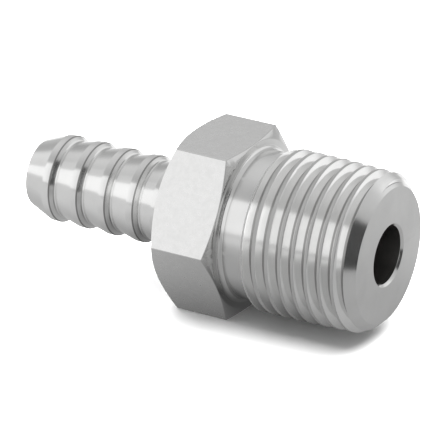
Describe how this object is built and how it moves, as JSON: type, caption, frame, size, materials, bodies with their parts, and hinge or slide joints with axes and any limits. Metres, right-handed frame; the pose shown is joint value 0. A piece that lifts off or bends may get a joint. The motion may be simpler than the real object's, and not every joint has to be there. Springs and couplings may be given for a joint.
{
  "type": "hose connector",
  "caption": "One-piece stainless steel hose connector: barbed hose tail, wrench hexagon and male taper pipe thread, with a straight bore.",
  "frame": {"origin": "on the axis of the bore, in the plane of the hexagon's face that looks at the pipe thread", "axes": "+X along the bore towards the open end of the pipe thread, +Z square to a wrench flat, +Y towards a corner of the hexagon"},
  "size_m": [0.0507, 0.0256, 0.0222],
  "materials": {
    "stainless_steel": "bright turned stainless steel, fine turning marks on the round parts and drawn bar surface on the flats"
  },
  "bodies": {
    "root": {"connector_body": "stainless_steel"}
  },
  "joints": []
}
